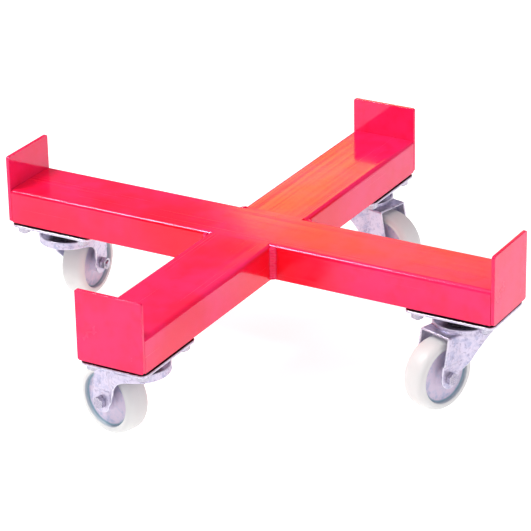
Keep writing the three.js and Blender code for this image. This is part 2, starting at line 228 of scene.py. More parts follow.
class Nodes:
    """Short calls for building one material's nodes."""

    def __init__(self, name):
        self.material = bpy.data.materials.new(name)
        self.material.use_nodes = True
        self.tree = self.material.node_tree
        self.shader = self.tree.nodes["Principled BSDF"]
        self.coordinates = self.tree.nodes.new("ShaderNodeTexCoord").outputs["Object"]

    def add(self, kind, inputs=None, **values):
        node = self.tree.nodes.new(kind)
        for key, value in values.items():
            setattr(node, key, value)
        for key, value in (inputs or {}).items():
            self.put(node.inputs[key], value)
        return node

    def put(self, socket, value):
        if isinstance(value, bpy.types.NodeSocket):
            self.tree.links.new(value, socket)
        else:
            socket.default_value = value

    def stretched(self, scale):
        return self.add("ShaderNodeMapping", {"Vector": self.coordinates, "Scale": scale}).outputs[0]

    def noise(self, scale, detail=4.0, roughness=0.55, vector=None, distortion=0.0):
        return self.add(
            "ShaderNodeTexNoise",
            {
                "Vector": vector or self.coordinates,
                "Scale": scale,
                "Detail": detail,
                "Roughness": roughness,
                "Distortion": distortion,
            },
        ).outputs["Fac"]

    def ramp(self, value, low, high, low_out=0.0, high_out=1.0):
        inputs = {
            "Value": value, "From Min": low, "From Max": high, "To Min": low_out, "To Max": high_out,
        }
        kind = "SMOOTHSTEP"
        return self.add("ShaderNodeMapRange", inputs, interpolation_type=kind).outputs[0]

    def math(self, operation, a, b=0.0):
        node = self.add("ShaderNodeMath", operation=operation)
        self.put(node.inputs[0], a)
        self.put(node.inputs[1], b)
        return node.outputs[0]

    def times(self, a, b):
        return self.math("MULTIPLY", a, b)

    def split(self, vector):
        return self.add("ShaderNodeSeparateXYZ", {"Vector": vector}).outputs

    def out_from_axis(self):
        """Distance from the piece's own z axis."""
        x, y, _ = self.split(self.coordinates)
        squares = self.math("ADD", self.math("POWER", x, 2.0), self.math("POWER", y, 2.0))
        return self.math("SQRT", squares)

    def mix(self, share, a, b):
        node = self.add("ShaderNodeMix", data_type="RGBA")
        self.put(node.inputs["Factor"], share)
        for key, value in (("A", a), ("B", b)):
            socket = next(s for s in node.inputs if s.name == key and s.type == "RGBA")
            linked = isinstance(value, bpy.types.NodeSocket)
            self.put(socket, value if linked else (*value, 1.0))
        return next(s for s in node.outputs if s.type == "RGBA")

    def bump(self, height, strength, distance, below=None):
        inputs = {"Height": height, "Strength": strength, "Distance": distance}
        if below is not None:
            inputs["Normal"] = below
        return self.add("ShaderNodeBump", inputs).outputs[0]

    def shade(self, **values):
        for key, value in values.items():
            self.put(self.shader.inputs[key.replace("_", " ")], value)


def tint(colour_value):
    return tuple(colour_value)[:3]


def paint_material(name, streak_scale, crossing=False):
    """Gloss paint with orange peel, faint drawn streaks along the metal and a few pits.

    With crossing, the side faces close to the cross's welded corners get painted shade: a deep
    saturated red for the shade and the red light bounced between the channels there.
    """
    s = bpy.context.scene.dolly_cross
    n = Nodes(name)
    clouds = n.ramp(n.noise(9.0, 3.0), 0.35, 0.65)
    thick = n.ramp(n.noise(60.0, 5.0, 0.6), 0.42, 0.75, 0.0, 0.45)
    colour_out = n.mix(thick, n.mix(clouds, tint(s.paint), tint(s.paint_deep)), tint(s.paint_deep))
    if crossing:
        # Painted shade: side faces near the cross's welded corners turn a saturated red, standing in
        # for shade and bounced red light.
        facing = n.split(n.add("ShaderNodeNewGeometry").outputs["Normal"])
        sides = n.ramp(facing[2], 0.85, 0.45)
        along = n.math("ABSOLUTE", n.split(n.coordinates)[0])
        near = n.ramp(along, 175.0 * MM, 50.0 * MM)
        corner_shade = n.times(n.times(sides, near), 0.92)
        colour_out = n.mix(corner_shade, colour_out, (0.95, 0.001, 0.006))
    streaks = n.noise(1.0, 4.0, 0.6, n.stretched(streak_scale))
    pits = n.ramp(n.noise(420.0, 2.0), 0.70, 0.78)
    peel = n.noise(260.0, 2.0, 0.5)
    normal = n.bump(peel, 0.05, 0.4 * MM)
    normal = n.bump(streaks, 0.16, 0.30 * MM, normal)
    normal = n.bump(n.times(pits, -1.0), 0.12, 0.2 * MM, normal)
    rough = n.ramp(streaks, 0.40, 0.70, s.paint_roughness - 0.05, s.paint_roughness + 0.16)
    n.shade(Base_Color=colour_out, Roughness=rough, Normal=normal)
    n.shader.inputs["IOR"].default_value = 1.5
    n.shader.inputs["Specular Tint"].default_value = (0.90, 0.60, 1.0, 1.0)
    n.shader.inputs["Coat Weight"].default_value = 0.14
    n.shader.inputs["Coat Roughness"].default_value = 0.05
    return n.material


def zinc_material(name, cloud_scale=120.0, rough=0.34, wear=0.85, tone=1.0, joint_height=None):
    """Bright zinc with bluish clouds, spangle and a fine rolled grain.

    One strength scales the bright edges, partly worn zinc and partly a painted highlight, and the
    painted shade in the hollows; tone dims the whole finish. With joint_height the faces that look up
    at that height, and the dish below, get near-black painted shade for the shadow in the gap under
    the arm.
    """
    s = bpy.context.scene.dolly_caster
    n = Nodes(name)
    broad = n.ramp(n.noise(cloud_scale, 6.0, 0.65, distortion=0.4), 0.44, 0.66)
    fine = n.ramp(n.noise(cloud_scale * 5, 4.0, 0.7), 0.45, 0.70)
    spots = n.ramp(n.noise(cloud_scale * 2.2, 5.0, 0.6, distortion=0.6), 0.54, 0.64)
    pale, blue = ([c * tone for c in tint(value)] for value in (s.zinc, s.zinc_blue))
    cloudy = n.mix(n.times(broad, 0.75), pale, blue)
    speckled = n.mix(n.times(fine, 0.30), cloudy, (0.82, 0.80, 0.88))
    colour_out = n.mix(n.times(spots, 0.55), speckled, (0.26, 0.23, 0.36))
    geometry = n.add("ShaderNodeNewGeometry")
    # Painted light: the bright edges are partly worn zinc and partly a painted highlight; the
    # darkened hollows are painted shade.
    worn_edge_highlight = n.ramp(geometry.outputs["Pointiness"], 0.515, 0.57)
    hollow_shade = n.ramp(geometry.outputs["Pointiness"], 0.485, 0.44)
    colour_out = n.mix(n.times(worn_edge_highlight, wear), colour_out, (0.97, 0.97, 1.0))
    colour_out = n.mix(n.times(hollow_shade, wear), colour_out, (0.10, 0.10, 0.17))
    if joint_height is not None:
        # Painted shade: near-black on the faces looking up at the joint height and inside the dish,
        # where the arm and plate cast shadow.
        height = n.split(n.coordinates)[2]
        facing_up = n.ramp(n.split(geometry.outputs["Normal"])[2], 0.8, 0.98)
        joint = n.times(facing_up, n.ramp(height, joint_height - 0.6 * MM, joint_height))
        within = n.ramp(n.out_from_axis(), 32.5 * MM, 30.5 * MM)
        below = n.ramp(height, joint_height - 2.4 * MM, joint_height - 3.4 * MM)
        gap_shade = n.times(n.math("MAXIMUM", joint, n.times(within, below)), 0.95)
        colour_out = n.mix(gap_shade, colour_out, (0.020, 0.010, 0.012))
    normal = n.bump(n.noise(900.0, 3.0), 0.10, 0.08 * MM)
    normal = n.bump(n.noise(140.0, 3.0), 0.12, 0.30 * MM, normal)
    n.shade(
        Base_Color=colour_out,
        Roughness=n.ramp(fine, 0.0, 1.0, rough, rough + 0.16),
        Normal=normal,
    )
    n.shader.inputs["Metallic"].default_value = 0.82
    return n.material


def steel_material(name):
    """Turned steel with a light oil film."""
    n = Nodes(name)
    film = n.ramp(n.noise(300.0, 4.0), 0.35, 0.70)
    grain = n.noise(1.0, 3.0, 0.5, n.stretched((400.0, 400.0, 2600.0)))
    n.shade(
        Base_Color=n.mix(film, (0.46, 0.46, 0.49), (0.30, 0.31, 0.34)),
        Roughness=n.ramp(grain, 0.2, 0.8, 0.22, 0.42),
        Normal=n.bump(grain, 0.08, 0.05 * MM),
    )
    n.shader.inputs["Metallic"].default_value = 1.0
    return n.material


def nylon_material(name):
    """Moulded nylon: cream tread, recessed sides with the lavender tint of the light on them painted
    in, a band of painted shade along the recess wall, fine texture and mottled marks.
    """
    w = bpy.context.scene.dolly_wheel
    n = Nodes(name)
    radius = n.out_from_axis()
    side = n.ramp(radius, w.rim_radius + 0.6 * MM, w.rim_radius - 1.2 * MM)
    marks = n.ramp(n.noise(90.0, 6.0, 0.65), 0.48, 0.72)
    marks_side = n.ramp(n.noise(150.0, 5.0, 0.6), 0.42, 0.70)
    tread = n.mix(n.times(marks, 0.18), tint(w.nylon), (0.74, 0.74, 0.76))
    # Painted light: the recessed sides' colour carries the lavender tint of the light falling on
    # them.
    face = n.mix(n.times(marks_side, 0.60), tint(w.nylon_side), (0.46, 0.50, 0.66))
    # Bluish mottling on the outer web, towards the recess wall.
    outer_web = n.ramp(radius, w.rim_radius - 12.0 * MM, w.rim_radius - 4.0 * MM)
    outer_web_mottle = n.times(n.times(outer_web, marks_side), 0.75)
    face = n.mix(outer_web_mottle, face, (0.30, 0.38, 0.58))
    # Painted shade: a dark teal band on the web along the recess wall.
    recess_wall_shade = n.ramp(radius, w.rim_radius - 3.6 * MM, w.rim_radius - 1.4 * MM)
    face = n.mix(n.times(recess_wall_shade, 0.92), face, tint(w.nylon_wall))
    colour_out = n.mix(side, tread, face)
    normal = n.bump(n.noise(700.0, 3.0), 0.08, 0.08 * MM)
    normal = n.bump(n.noise(60.0, 4.0), 0.10, 0.40 * MM, normal)
    n.shade(Base_Color=colour_out, Roughness=n.ramp(marks, 0.0, 1.0, 0.38, 0.52), Normal=normal)
    n.shader.inputs["Subsurface Weight"].default_value = 0.06
    n.shader.inputs["Subsurface Radius"].default_value = (0.004, 0.004, 0.003)
    n.shader.inputs["Subsurface Scale"].default_value = 0.5
    return n.material


def floor_material():
    """Pale seamless floor with a faint grain."""
    s = bpy.context.scene.dolly_stage
    n = Nodes("pale_floor")
    grain = n.noise(14.0, 4.0)
    pale = tint(s.floor_colour)
    n.shade(
        Base_Color=n.mix(n.times(grain, 0.15), pale, tuple(c * 0.98 for c in pale)),
        Roughness=0.9,
    )
    n.shader.inputs["Emission Color"].default_value = (1.0, 1.0, 1.0, 1.0)
    n.shader.inputs["Emission Strength"].default_value = 0.84
    return n.material


def finish(name, make, **values):
    """The material of that name, made on first use."""
    return bpy.data.materials.get(name) or make(name, **values)


def channel_paint():
    """Gloss paint with streaks along each piece's own x axis."""
    scale = (3.0, 420.0, 420.0)
    return finish("red_gloss_paint_x", paint_material, streak_scale=scale, crossing=True)


def plate_paint():
    """The same gloss paint on cut plates and welds, without streaks."""
    return finish("red_gloss_paint_z", paint_material, streak_scale=(26.0, 26.0, 26.0))


def bright_zinc():
    return finish("bright_zinc", zinc_material)


def plate_zinc():
    # The joint height gives the plate painted shade on its top under the arm and inside its dish.
    return finish("plate_zinc", zinc_material, joint_height=PLATE_HIGH.z - 0.2 * MM)


def fastener_zinc():
    return finish("fastener_zinc", zinc_material, cloud_scale=260.0, rough=0.16, wear=0.18, tone=0.66)


def oiled_steel():
    return finish("oiled_steel", steel_material)


def moulded_nylon():
    return finish("moulded_nylon", nylon_material)


# ---------------------------------------------------------------- mesh code


def new_mesh(name, vertices, faces, sharp=math.radians(32)):
    """A closed, smooth-shaded mesh whose edges past an angle stay sharp."""
    mesh = bpy.data.meshes.new(name)
    mesh.from_pydata([tuple(v) for v in vertices], [], [tuple(f) for f in faces])
    work = bmesh.new()
    work.from_mesh(mesh)
    bmesh.ops.remove_doubles(work, verts=work.verts, dist=1e-7)
    bmesh.ops.dissolve_degenerate(work, dist=1e-8, edges=work.edges)
    bmesh.ops.recalc_face_normals(work, faces=work.faces)
    work.to_mesh(mesh)
    work.free()
    mesh.shade_smooth()
    if sharp:
        mesh.set_sharp_from_angle(angle=sharp)
    return mesh


def joined(*parts):
    """One list of vertices and one of faces from several."""
    vertices, faces = [], []
    for part_vertices, part_faces in parts:
        start = len(vertices)
        vertices += [Vector(v) for v in part_vertices]
        faces += [tuple(i + start for i in face) for face in part_faces]
    return vertices, faces


def moved(part, matrix):
    return [matrix @ Vector(v) for v in part[0]], part[1]


def circle_of(radius, z, angles):
    return [(radius * math.cos(a), radius * math.sin(a), z) for a in angles]


def skin(rows, closed=True, capped=True):
    """Faces between rows of points; each row is a closed loop when closed is true."""
    count = len(rows[0])
    vertices = [Vector(p) for row in rows for p in row]
    faces = []
    for r in range(len(rows) - 1):
        for i in range(count if closed else count - 1):
            j = (i + 1) % count
            faces.append((r * count + i, r * count + j, (r + 1) * count + j, (r + 1) * count + i))
    if capped:
        faces.append(tuple(reversed(range(count))))
        faces.append(tuple(range((len(rows) - 1) * count, len(rows) * count)))
    return vertices, faces


def turned(profile, steps):
    """A closed [radius, z] profile turned about z; a profile that starts on the axis is capped."""
    solid = profile[0][0] < 1e-9
    points = profile[1:-1] if solid else profile
    rings = []
    for step in range(steps):
        a = 2 * math.pi * step / steps
        rings.append([(r * math.cos(a), r * math.sin(a), z) for r, z in points])
    vertices, faces = skin(rings + [rings[0]], closed=not solid, capped=False)
    if solid:
        count, last = len(points), len(vertices)
        vertices += [Vector((0, 0, profile[0][1])), Vector((0, 0, profile[-1][1]))]
        for step in range(steps):
            faces.append((last, (step + 1) * count, step * count))
            faces.append((last + 1, step * count + count - 1, (step + 1) * count + count - 1))
    return vertices, faces


def arc(cx, cy, radius, start, end, steps):
    """Points on a circle from one angle to another, in degrees."""
    angles = [math.radians(start + (end - start) * i / steps) for i in range(steps + 1)]
    return [(cx + radius * math.cos(a), cy + radius * math.sin(a)) for a in angles]


def rounded_rectangle(x0, x1, y0, y1, radius, steps=8):
    return [
        *arc(x1 - radius, y1 - radius, radius, 0, 90, steps),
        *arc(x0 + radius, y1 - radius, radius, 90, 180, steps),
        *arc(x0 + radius, y0 + radius, radius, 180, 270, steps),
        *arc(x1 - radius, y0 + radius, radius, 270, 360, steps),
    ]


def bevelled_prism(name, outline, low, high, edge, place):
    """A prism from z low to z high with rounded cut edges; place turns it into position."""
    vertices, faces = skin([[(x, y, z) for x, y in outline] for z in (low, high)])
    work = bmesh.new()
    made = [work.verts.new(place @ v) for v in vertices]
    for face in faces:
        work.faces.new([made[i] for i in face])
    bmesh.ops.recalc_face_normals(work, faces=work.faces)
    cut = [e for e in work.edges if e.calc_face_angle(0.0) > math.radians(35)]
    bmesh.ops.bevel(work, geom=cut, offset=edge, segments=3, profile=0.5, affect="EDGES")
    mesh = bpy.data.meshes.new(name)
    work.to_mesh(mesh)
    work.free()
    mesh.shade_smooth()
    keep_flats_flat(mesh)
    return mesh


def keep_flats_flat(mesh):
    """Vertex normals weighted by face area, so rounded edges don't bend the light on flats."""
    normals = np.zeros((len(mesh.vertices), 3))
    for polygon in mesh.polygons:
        normals[list(polygon.vertices)] += np.array(polygon.normal) * polygon.area
    normals /= np.maximum(np.linalg.norm(normals, axis=1), 1e-20)[:, None]
    mesh.normals_split_custom_set_from_vertices(normals.tolist())


CUBE_EDGES = [
    (a, b)
    for a in np.ndindex(2, 2, 2)
    for b in np.ndindex(2, 2, 2)
    if a < b and sum(x != y for x, y in zip(a, b)) == 1
]


def surface_of(distance, low, high, cell):
    """Mesh of the surface where a distance field is zero, as vertices and faces."""
    axes = [np.arange(a - 2 * cell, b + 3 * cell, cell) for a, b in zip(low, high)]
    field = distance(*np.meshgrid(*axes, indexing="ij"))
    inside = field < 0
    counts = tuple(n - 1 for n in field.shape)

    def corner(grid, c):
        return grid[tuple(slice(c[k], c[k] + counts[k]) for k in range(3))]

    full = sum(corner(inside, c).astype(np.int8) for c in np.ndindex(2, 2, 2))
    active = (full > 0) & (full < 8)
    index = np.full(counts, -1)
    index[active] = np.arange(active.sum())
    where = np.argwhere(active)
    total, hits = np.zeros((len(where), 3)), np.zeros(len(where))
    for a, b in CUBE_EDGES:
        fa, fb = corner(field, a)[active], corner(field, b)[active]
        crossing = (fa < 0) != (fb < 0)
        share = np.where(crossing, fa / np.where(crossing, fa - fb, 1.0), 0.0)
        point = np.array(a) + share[:, None] * (np.array(b) - np.array(a))
        total += np.where(crossing[:, None], point, 0.0)
        hits += crossing
    origin = np.array([axis[0] for axis in axes])
    vertices = origin + (where + total / hits[:, None]) * cell
    faces = []
    for axis in range(3):
        one, two = (axis + 1) % 3, (axis + 2) % 3
        first = [slice(None)] * 3
        second = [slice(None)] * 3
        first[axis], second[axis] = slice(0, -1), slice(1, None)
        here, there = inside[tuple(first)], inside[tuple(second)]
        for flip in (False, True):
            edge = (here & ~there) if not flip else (~here & there)
            spots = np.argwhere(edge)
            quad = []
            for d1, d2 in ((1, 1), (0, 1), (0, 0), (1, 0)):
                cells = spots.copy()
                cells[:, one] -= d1
                cells[:, two] -= d2
                quad.append(index[tuple(cells.T)])
            faces.append(np.stack(quad[::-1] if flip else quad, axis=1))
    return vertices, np.concatenate(faces)


def field_mesh(name, distance, low, high, cell):
    vertices, faces = surface_of(distance, low, high, cell)
    mesh = bpy.data.meshes.new(name)
    mesh.from_pydata(vertices.tolist(), [], faces.tolist())
    mesh.shade_smooth()
    return mesh


def blend_min(a, b, k):
    """Union of two fields with a fillet of about k."""
    h = np.clip(0.5 + 0.5 * (b - a) / k, 0.0, 1.0)
    return b * (1 - h) + a * h - k * h * (1 - h)


def blend_max(a, b, k):
    """Overlap of two fields with an edge rounded by about k."""
    return -blend_min(-a, -b, k)


def box_field(dx, dy, radius=0.0):
    """Distance outside a rectangle, from how far each coordinate is past its side."""
    dx, dy = dx + radius, dy + radius
    outside = np.hypot(np.maximum(dx, 0.0), np.maximum(dy, 0.0))
    return outside + np.minimum(np.maximum(dx, dy), 0.0) - radius


def segment_field(x, y, start, end):
    """Distance from a straight line between two points."""
    sx, sy = end[0] - start[0], end[1] - start[1]
    t = np.clip(((x - start[0]) * sx + (y - start[1]) * sy) / (sx * sx + sy * sy), 0.0, 1.0)
    return np.hypot(x - start[0] - t * sx, y - start[1] - t * sy)


def outline_field(x, y, outline):
    """Signed distance from a closed outline, negative inside."""
    nearest = np.full(x.shape, 1e9)
    inside = np.zeros(x.shape, bool)
    for start, end in zip(outline, outline[1:] + outline[:1]):
        nearest = np.minimum(nearest, segment_field(x, y, start, end))
        if start[1] != end[1]:
            crosses = (start[1] > y) != (end[1] > y)
            at = start[0] + (y - start[1]) * (end[0] - start[0]) / (end[1] - start[1])
            inside ^= crosses & (x < at)
    return np.where(inside, -nearest, nearest)


def add_piece(name, mesh, place, body, material, slot, *nodes):
    """Puts a mesh in the scene on its body, with its finish, standing for frame nodes."""
    piece = bpy.data.objects.new(name, mesh)
    bpy.context.scene.collection.objects.link(piece)
    piece.matrix_world = place
    if not mesh.materials:
        mesh.materials.append(material)
    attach(piece, body)
    if nodes:
        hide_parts(*nodes)


def add_at_each_arm(where, *rows):
    """Pieces at each arm, from rows of name, mesh, body, material, slot and perhaps a node.

    {} in a name, a body or a node stands for the arm's place.
    """
    for place in PLACES:
        for name, mesh, body, material, slot, *nodes in rows:
            name, body, *nodes = (text.format(place) for text in (name, body, *nodes))
            add_piece(name, mesh, where(place), body, material, slot, *nodes)


# ---------------------------------------------------------------- cross


def channel_outline(s):
    """Section of an arm: x across, y up, as one closed loop."""
    half = (ARM_HIGH.y - ARM_LOW.y) / 2
    low, top, inner = ARM_LOW.z, ARM_HIGH.z, s.bend - s.sheet
    wall, web = half - s.sheet, top - s.sheet
    return [
        (half, low),
        *arc(half - s.bend, top - s.bend, s.bend, 0, 90, 10),
        *arc(s.bend - half, top - s.bend, s.bend, 90, 180, 10),
        (-half, low),
        (-wall, low),
        *arc(inner - wall, web - inner, inner, 180, 90, 4),
        *arc(wall - inner, web - inner, inner, 90, 0, 4),
        (wall, low),
    ]


def along_arm(start):
    """Turns a section (x across, y up, z along) to lie along local x from a distance out."""
    return Matrix(((0, 0, 1, start), (1, 0, 0, 0), (0, 1, 0, 0), (0, 0, 0, 1)))


def channel_mesh(name, s, start, end):
    """One channel, open below, from one distance along an arm to another."""
    return bevelled_prism(name, channel_outline(s), 0.0, end - start, 0.35 * MM, along_arm(start))


class DOLLY_OT_channels(bpy.types.Operator):
    """Builds the long channel and the two short channels welded to its sides."""

    bl_idname = "dolly.channels"
    bl_label = "Channels"

    def execute(self, context):
        s = context.scene.dolly_cross
        paint = channel_paint()
        long_mesh = channel_mesh("long_channel_sheet", s, ARM_LOW.x, ARM_HIGH.x)
        short_mesh = channel_mesh("short_channel_sheet", s, ARM_HIGH.y + FIT_GAP, ARM_HIGH.x)
        for place, mesh, name in (
            ("right", long_mesh, "long"),
            ("back", short_mesh, "back"),
            ("front", short_mesh, "front"),
        ):
            where = arm_frame(place)
            add_piece(f"{name}_arm", mesh, where, "frame", paint, "red_paint", f"{name}_channel")
        return {"FINISHED"}


class DOLLY_OT_stop_plates(bpy.types.Operator):
    """Builds the upright stop plate at each arm's end."""

    bl_idname = "dolly.stop_plates"
    bl_label = "Stop plates"

    def execute(self, context):
        s = context.scene.dolly_cross
        half = STOP_HIGH.y
        outline = rounded_rectangle(-half, half, STOP_LOW.z, STOP_HIGH.z, s.stop_corner, 6)
        thickness = STOP_HIGH.x - STOP_LOW.x
        where = along_arm(STOP_LOW.x)
        mesh = bevelled_prism("stop_plate_sheet", outline, 0.0, thickness, s.plate_edge, where)
        row = ("stop_plate_{}", mesh, "frame", plate_paint(), "red_paint", "end_plate_{}")
        add_at_each_arm(arm_frame, row)
        return {"FINISHED"}


def drilled_plate_field(x, y, z, x0, x1, half_y, low, high, corner, edge, hole):
    """Flat plate with rounded corners, rounded edges and the four bolt holes."""
    middle = (x0 + x1) / 2
    flat = box_field(np.abs(x - middle) - (x1 - x0) / 2, np.abs(y) - half_y, corner)
    upright = np.abs(z - (low + high) / 2) - (high - low) / 2
    plate = box_field(flat, upright, edge)
    for sx in (-1, 1):
        for sy in (-1, 1):
            bore = hole - np.hypot(x - sx * BOLT_X, y - sy * BOLT_Y)
            plate = np.maximum(plate, bore)
    return plate


class DOLLY_OT_caster_pads(bpy.types.Operator):
    """Builds the drilled pads inside the arms that the casters are bolted to."""

    bl_idname = "dolly.caster_pads"
    bl_label = "Caster pads"

    def execute(self, context):
        f = context.scene.dolly_fastener
        x0, x1, half = PAD_LOW.x - PIVOT, PAD_HIGH.x - PIVOT, PAD_HIGH.y
        hole = f.thread_radius + FIT_GAP

        def pad(x, y, z):
            return drilled_plate_field(
                x, y, z, x0, x1, half, PAD_LOW.z, PAD_HIGH.z, 0.6 * MM, 0.4 * MM, hole
            )

        low, high = (x0, -half, PAD_LOW.z), (x1, half, PAD_HIGH.z)
        mesh = field_mesh("caster_pad_steel", pad, low, high, 1.0 * MM)
        # channel_paint also puts its painted corner shade, a saturated red, on the pads' side faces,
        # which lie near their own origin.
        row = ("pad_{}", mesh, "frame", channel_paint(), "red_paint", "caster_pad_{}")
        add_at_each_arm(plate_frame, row)
        return {"FINISHED"}


def weld_bead(start, end, first, second, leg, pitch, seed):
    """A rippled fillet bead along a corner; first and second point away along its two faces."""
    start, end, first, second = map(Vector, (start, end, first, second))
    along = end - start
    steps = max(8, int(along.length / (0.45 * MM)))
    across = 10
    rows = []
    for i in range(steps + 1):
        t = i / steps
        distance = t * along.length
        wander = noise.noise(Vector((seed, distance * 60, 0)))
        ripple = abs(math.sin(math.pi * distance / pitch + wander))
        fade = min(1.0, 0.35 + 4 * min(distance, along.length - distance) / leg)
        size = leg * fade * (0.93 + 0.10 * noise.noise(Vector((distance * 240, seed, 3.1))))
        row = [start + along * t - (first + second) * 0.2 * MM]
        for j in range(across + 1):
            w = j / across
            flat = first * size * (1 - w) + second * size * w
            swell = math.sin(math.pi * w)
            lump = 0.03 * MM * noise.noise(Vector((distance * 900, w * 6, seed)))
            rise = (0.10 * size + 0.85 * MM * ripple) * swell + lump * swell
            row.append(start + along * t + flat + (first + second).normalized() * rise)
        rows.append(row)
    return skin(rows)


def flush_weld(half_length, inner, outer, low, top, seed):
    """A ground weld that fills the groove over the long channel's bend."""
    rows = []
    steps = 90
    for i in range(steps + 1):
        x = half_length * (2 * i / steps - 1)
        sink = 0.02 * MM + 0.02 * MM * noise.noise(Vector((x * 300, seed, 0)))
        edge = outer + 0.25 * MM * noise.noise(Vector((x * 260, seed, 5)))
        section = ((inner, low), (edge, low), (edge, top - sink), (inner, top - sink))
        rows.append([(x, y, z) for y, z in section])
    return skin(rows)


class DOLLY_OT_welds(bpy.types.Operator):
    """Builds the weld beads that join channels, stop plates and pads."""

    bl_idname = "dolly.welds"
    bl_label = "Weld beads"

    def execute(self, context):
        s = context.scene.dolly_cross
        paint = plate_paint()
        half, low, top = ARM_HIGH.y, ARM_LOW.z, ARM_HIGH.z
        corners = (
            ("front_right", 1, -1),
            ("front_left", -1, -1),
            ("back_right", 1, 1),
            ("back_left", -1, 1),
        )
        for number, (name, sx, sy) in enumerate(corners):
            x, y = sx * half, sy * half
            bead = weld_bead(
                (x, y, low + 0.3 * MM), (x, y, top - 0.8 * MM), (sx, 0, 0), (0, sy, 0),
                s.weld_leg, s.weld_pitch, number * 7.3,
            )
            mesh = new_mesh(f"corner_bead_{name}", *bead, sharp=0)
            where = Matrix.Identity(4)
            add_piece(f"weld_corner_{name}", mesh, where, "frame", paint, "red_paint")
        for number, (name, side) in enumerate((("back", 1), ("front", -1))):
            inner, outer, root = half - s.bend, half + 0.6 * MM, top - 2.6 * MM
            fill = flush_weld(inner, inner, outer, root, top, number * 3.7)
            mesh = new_mesh(f"web_fill_{name}", *fill)
            place = Matrix.Rotation(0 if side > 0 else math.pi, 4, "Z")
            add_piece(f"weld_web_{name}", mesh, place, "frame", paint, "red_paint")
        wall, web = half - s.sheet, top - s.sheet
        end = STOP_LOW.x
        stop_parts = [
            weld_bead(
                (end, -wall + 6 * MM, web), (end, wall - 6 * MM, web), (-1, 0, 0), (0, 0, -1),
                3.5 * MM, s.weld_pitch, 11.0,
            ),
        ]
        for sy in (-1, 1):
            stop_parts.append(
                weld_bead(
                    (end, sy * wall, PAD_HIGH.z + 3 * MM), (end, sy * wall, web - 5 * MM),
                    (-1, 0, 0), (0, -sy, 0), 3.2 * MM, s.weld_pitch, 17.0 + sy,
                )
            )
        stop_mesh = new_mesh("stop_bead", *joined(*stop_parts), sharp=0)
        pad_parts = []
        for sy in (-1, 1):
            for x0, x1 in PAD_WELD_RUNS:
                start, stop = ((PIVOT + x * MM, sy * wall, PAD_HIGH.z) for x in (x0, x1))
                pad_parts.append(
                    weld_bead(start, stop, (0, 0, 1), (0, -sy, 0), 3.0 * MM, s.weld_pitch, x0 + sy)
                )
        pad_mesh = new_mesh("pad_bead", *joined(*pad_parts), sharp=0)
        add_at_each_arm(
            arm_frame,
            ("weld_stop_{}", stop_mesh, "frame", paint, "red_paint"),
            ("weld_pad_{}", pad_mesh, "frame", paint, "red_paint"),
        )
        return {"FINISHED"}


# ---------------------------------------------------------------- casters


class DOLLY_OT_top_plates(bpy.types.Operator):
    """Builds the pressed caster plates with their dishes and bolt holes."""

    bl_idname = "dolly.top_plates"
    bl_label = "Caster plates"

    def execute(self, context):
        s, f = context.scene.dolly_caster, context.scene.dolly_fastener
        half_x, half_y, top = (PLATE_HIGH.x - PLATE_LOW.x) / 2, PLATE_HIGH.y, PLATE_HIGH.z
        low = top - s.plate_sheet
        middle = top - s.plate_sheet / 2
        floor = middle - s.dish_depth
        hole = f.thread_radius + FIT_GAP

        def pressed(x, y, z):
            radius = np.hypot(x, y)
            plate = drilled_plate_field(
                x, y, z, -half_x, half_x, half_y, low, top, s.plate_corner, 0.5 * MM, hole
            )
            plate = np.maximum(plate, s.dish_mouth - radius)
            path = [
                (PIN_BORE, floor), (s.dish_floor, floor),
                (s.dish_mouth - 0.5 * MM, middle), (s.dish_mouth + 4 * MM, middle),
            ]
            runs = [segment_field(radius, z, a, b) for a, b in zip(path, path[1:])]
            dish = np.maximum(np.minimum.reduce(runs) - s.plate_sheet / 2, PIN_BORE - radius)
            return blend_min(plate, dish, 1.6 * MM)

        lowest = (-half_x, -half_y, floor - s.plate_sheet / 2)
        mesh = field_mesh("caster_plate_pressing", pressed, lowest, (half_x, half_y, top), s.cell)
        row = ("caster_plate_{}", mesh, "frame", plate_zinc(), "zinc", "top_plate_{}")
        add_at_each_arm(plate_frame, row)
        return {"FINISHED"}


def fork_side_outline(crown_top):
    """Side view of the fork, x from the swivel axis towards the wheel, y up."""
    lead = [
        (-40, 83.0), (-20, 83.0), (-12, 82.4), (-6, 80.6), (-1, 77.6), (3, 73.6), (6.5, 69.4),
        (10.2, 63.8), (14.2, 56.0), (18.0, 50.8), (22.0, 45.6), (25.5, 40.6), (28.2, 36.4),
    ]
    boss = [(x / MM, y / MM) for x, y in arc(TRAIL, AXLE_HEIGHT, 12.5 * MM, 208, 372, 22)]
    trail = [(51.2, 50.0), (43.8, crown_top / MM), (43.8, 100.0), (-40, 100.0)]
    return [(x * MM, y * MM) for x, y in lead + boss + trail]


